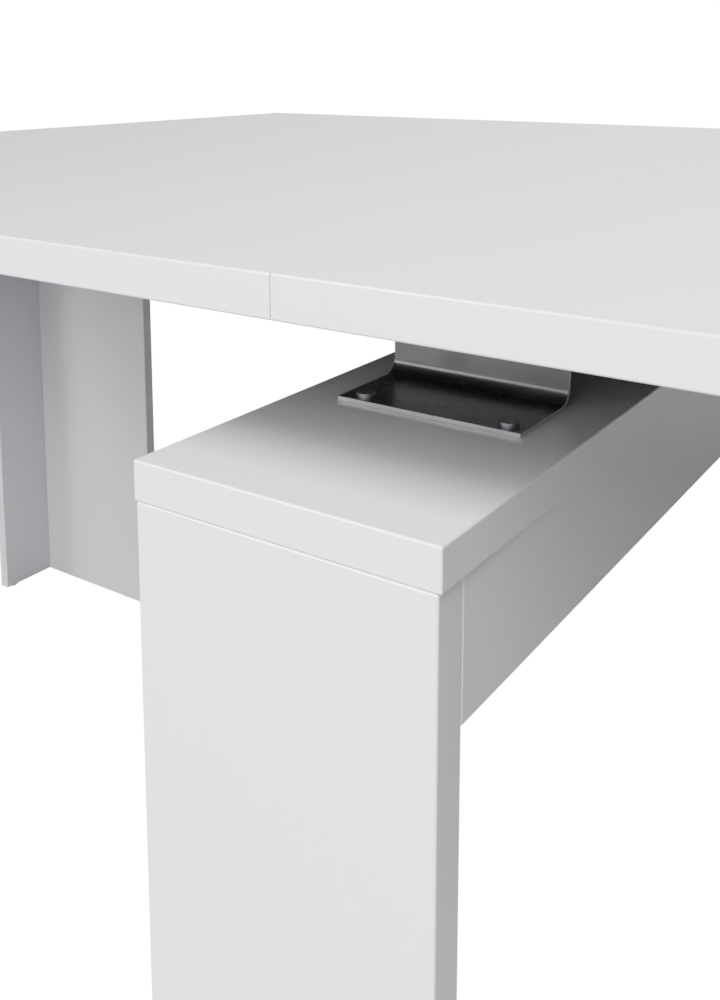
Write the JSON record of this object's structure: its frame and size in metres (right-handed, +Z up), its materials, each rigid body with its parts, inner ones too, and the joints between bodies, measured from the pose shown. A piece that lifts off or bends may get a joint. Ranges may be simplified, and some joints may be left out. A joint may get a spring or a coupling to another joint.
{
  "type": "lift top coffee table",
  "caption": "Low white table with a split top whose two leaves lift and move outwards on parallel arms, raised over a narrow bridge base with T-shaped outer legs.",
  "frame": {"origin": "centre of the table's plan on the floor", "axes": "+X along the table's length to the right leaf, -Y towards the front end of the bridge base, +Z up"},
  "size_m": [1.34, 0.852, 0.45],
  "materials": {
    "birch": "raw",
    "black_plastic": "matte",
    "black_steel": "matte powder coat",
    "dark_foil": "smooth matte sheet",
    "grey_steel": "satin powder coat",
    "nylon": "matte",
    "rubber": "matte",
    "satin_steel": "satin",
    "white_lacquer": "smooth gloss lacquer",
    "zinc_steel": "bright zinc plate"
  },
  "bodies": {
    "base": {"front_leg_panel": "white_lacquer", "rear_leg_panel": "white_lacquer", "bridge_cap": "white_lacquer", "left_apron": "white_lacquer", "right_apron": "white_lacquer", "corner_blocks": "birch", "panel_dowels": "birch", "front_bracket": "satin_steel", "rear_bracket": "satin_steel", "foot_bolts": "zinc_steel", "foot_nuts": "zinc_steel", "front_rail": "black_steel", "rear_rail": "black_steel", "rail_end_caps": "black_plastic", "left_cross_bar": "black_steel", "right_cross_bar": "black_steel", "frame_bolts": "zinc_steel", "left_leg_flange": "white_lacquer", "left_leg_fin": "white_lacquer", "right_leg_flange": "white_lacquer", "right_leg_fin": "white_lacquer", "leg_dowels": "birch", "left_leg_plate": "black_steel", "right_leg_plate": "black_steel", "leg_plate_screws": "zinc_steel", "floor_glides": "nylon", "leaf_bumpers": "rubber", "lift_axles": "zinc_steel", "axle_nuts": "zinc_steel", "axle_spacers": "nylon", "lift_stops": "black_steel"},
    "left_drive_arms": {"left_front_drive_arm": "grey_steel", "left_rear_drive_arm": "grey_steel", "left_drive_tube": "grey_steel"},
    "left_guide_arms": {"left_front_guide_arm": "grey_steel", "left_rear_guide_arm": "grey_steel", "left_guide_tube": "grey_steel"},
    "left_leaf": {"left_top_leaf": "white_lacquer", "left_leaf_backing": "dark_foil", "left_front_carrier": "grey_steel", "left_rear_carrier": "grey_steel", "left_carrier_screws": "zinc_steel", "left_pivot_pins": "zinc_steel"},
    "right_drive_arms": {"right_front_drive_arm": "grey_steel", "right_rear_drive_arm": "grey_steel", "right_drive_tube": "grey_steel"},
    "right_guide_arms": {"right_front_guide_arm": "grey_steel", "right_rear_guide_arm": "grey_steel", "right_guide_tube": "grey_steel"},
    "right_leaf": {"right_top_leaf": "white_lacquer", "right_leaf_backing": "dark_foil", "right_front_carrier": "grey_steel", "right_rear_carrier": "grey_steel", "right_carrier_screws": "zinc_steel", "right_pivot_pins": "zinc_steel"}
  },
  "joints": [
    {"name": "left_lift", "type": "hinge", "parent": "base", "child": "left_drive_arms", "pos_m": [-0.36503, 0, 0.3985], "axis": [0, -1, 0], "range_deg": [0, 96]},
    {"name": "left_guide_pivot", "type": "hinge", "parent": "base", "child": "left_guide_arms", "pos_m": [-0.24503, 0, 0.3985], "axis": [0, -1, 0], "range_deg": [0, 96]},
    {"name": "left_leaf_pivot", "type": "hinge", "parent": "left_drive_arms", "child": "left_leaf", "pos_m": [-0.1667, 0, 0.4243], "axis": [0, -1, 0], "range_deg": [-96, 0]},
    {"name": "right_lift", "type": "hinge", "parent": "base", "child": "right_drive_arms", "pos_m": [0.36503, 0, 0.3985], "axis": [0, 1, 0], "range_deg": [0, 96]},
    {"name": "right_guide_pivot", "type": "hinge", "parent": "base", "child": "right_guide_arms", "pos_m": [0.24503, 0, 0.3985], "axis": [0, 1, 0], "range_deg": [0, 96]},
    {"name": "right_leaf_pivot", "type": "hinge", "parent": "right_drive_arms", "child": "right_leaf", "pos_m": [0.1667, 0, 0.4243], "axis": [0, 1, 0], "range_deg": [-96, 0]}
  ],
  "couplings": [
    {"joint": "left_guide_pivot", "follows": "left_lift", "ratio": 1},
    {"joint": "left_leaf_pivot", "follows": "left_lift", "ratio": -1},
    {"joint": "right_guide_pivot", "follows": "right_lift", "ratio": 1},
    {"joint": "right_leaf_pivot", "follows": "right_lift", "ratio": -1}
  ]
}
